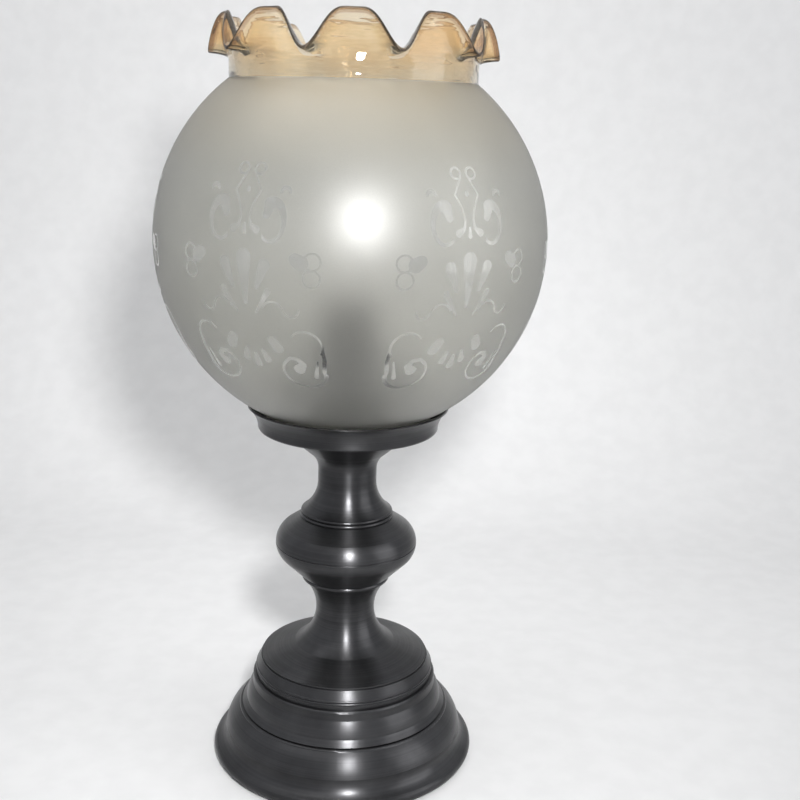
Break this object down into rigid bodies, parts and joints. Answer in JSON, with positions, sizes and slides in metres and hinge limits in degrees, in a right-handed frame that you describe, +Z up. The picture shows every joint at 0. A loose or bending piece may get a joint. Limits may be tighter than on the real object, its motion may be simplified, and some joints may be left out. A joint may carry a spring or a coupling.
{
  "type": "hurricane candle lantern",
  "caption": "Table candle lantern: a frosted glass globe with a crimped rim lifts out of a spun pewter cup on a knobbed column and weighted base.",
  "frame": {"origin": "on the table, under the lantern's axis", "axes": "+Z up along the axis, -Y towards the viewer of the picture"},
  "size_m": [0.1888, 0.1888, 0.3736],
  "materials": {
    "pewter": "antiqued pewter, spun, with fine turning lines",
    "steel": "zinc plated steel",
    "iron": "rough casting",
    "felt": "pressed wool felt",
    "glass": "acid frosted with clear etched scrolls and a clear amber rim"
  },
  "bodies": {
    "base": {"felt_pad": "felt", "base_plate": "steel", "base_shell": "pewter", "bottom_nut": "steel", "bottom_washer": "steel", "ballast_weight": "iron", "tie_rod": "steel", "lower_stem": "pewter", "lower_ring": "pewter", "knob_lower": "pewter", "knob_upper": "pewter", "upper_ring": "pewter", "upper_stem": "pewter", "shade_cup": "pewter", "cup_washer": "steel", "cup_nut": "steel", "candle_post": "pewter", "drip_pan": "pewter", "candle_cup": "pewter"},
    "shade": {"glass_shade": "glass"}
  },
  "joints": [
    {"name": "shade_lift", "type": "slide", "parent": "base", "child": "shade", "axis": [0, 0, 1], "range_m": [0, 0.09]}
  ]
}
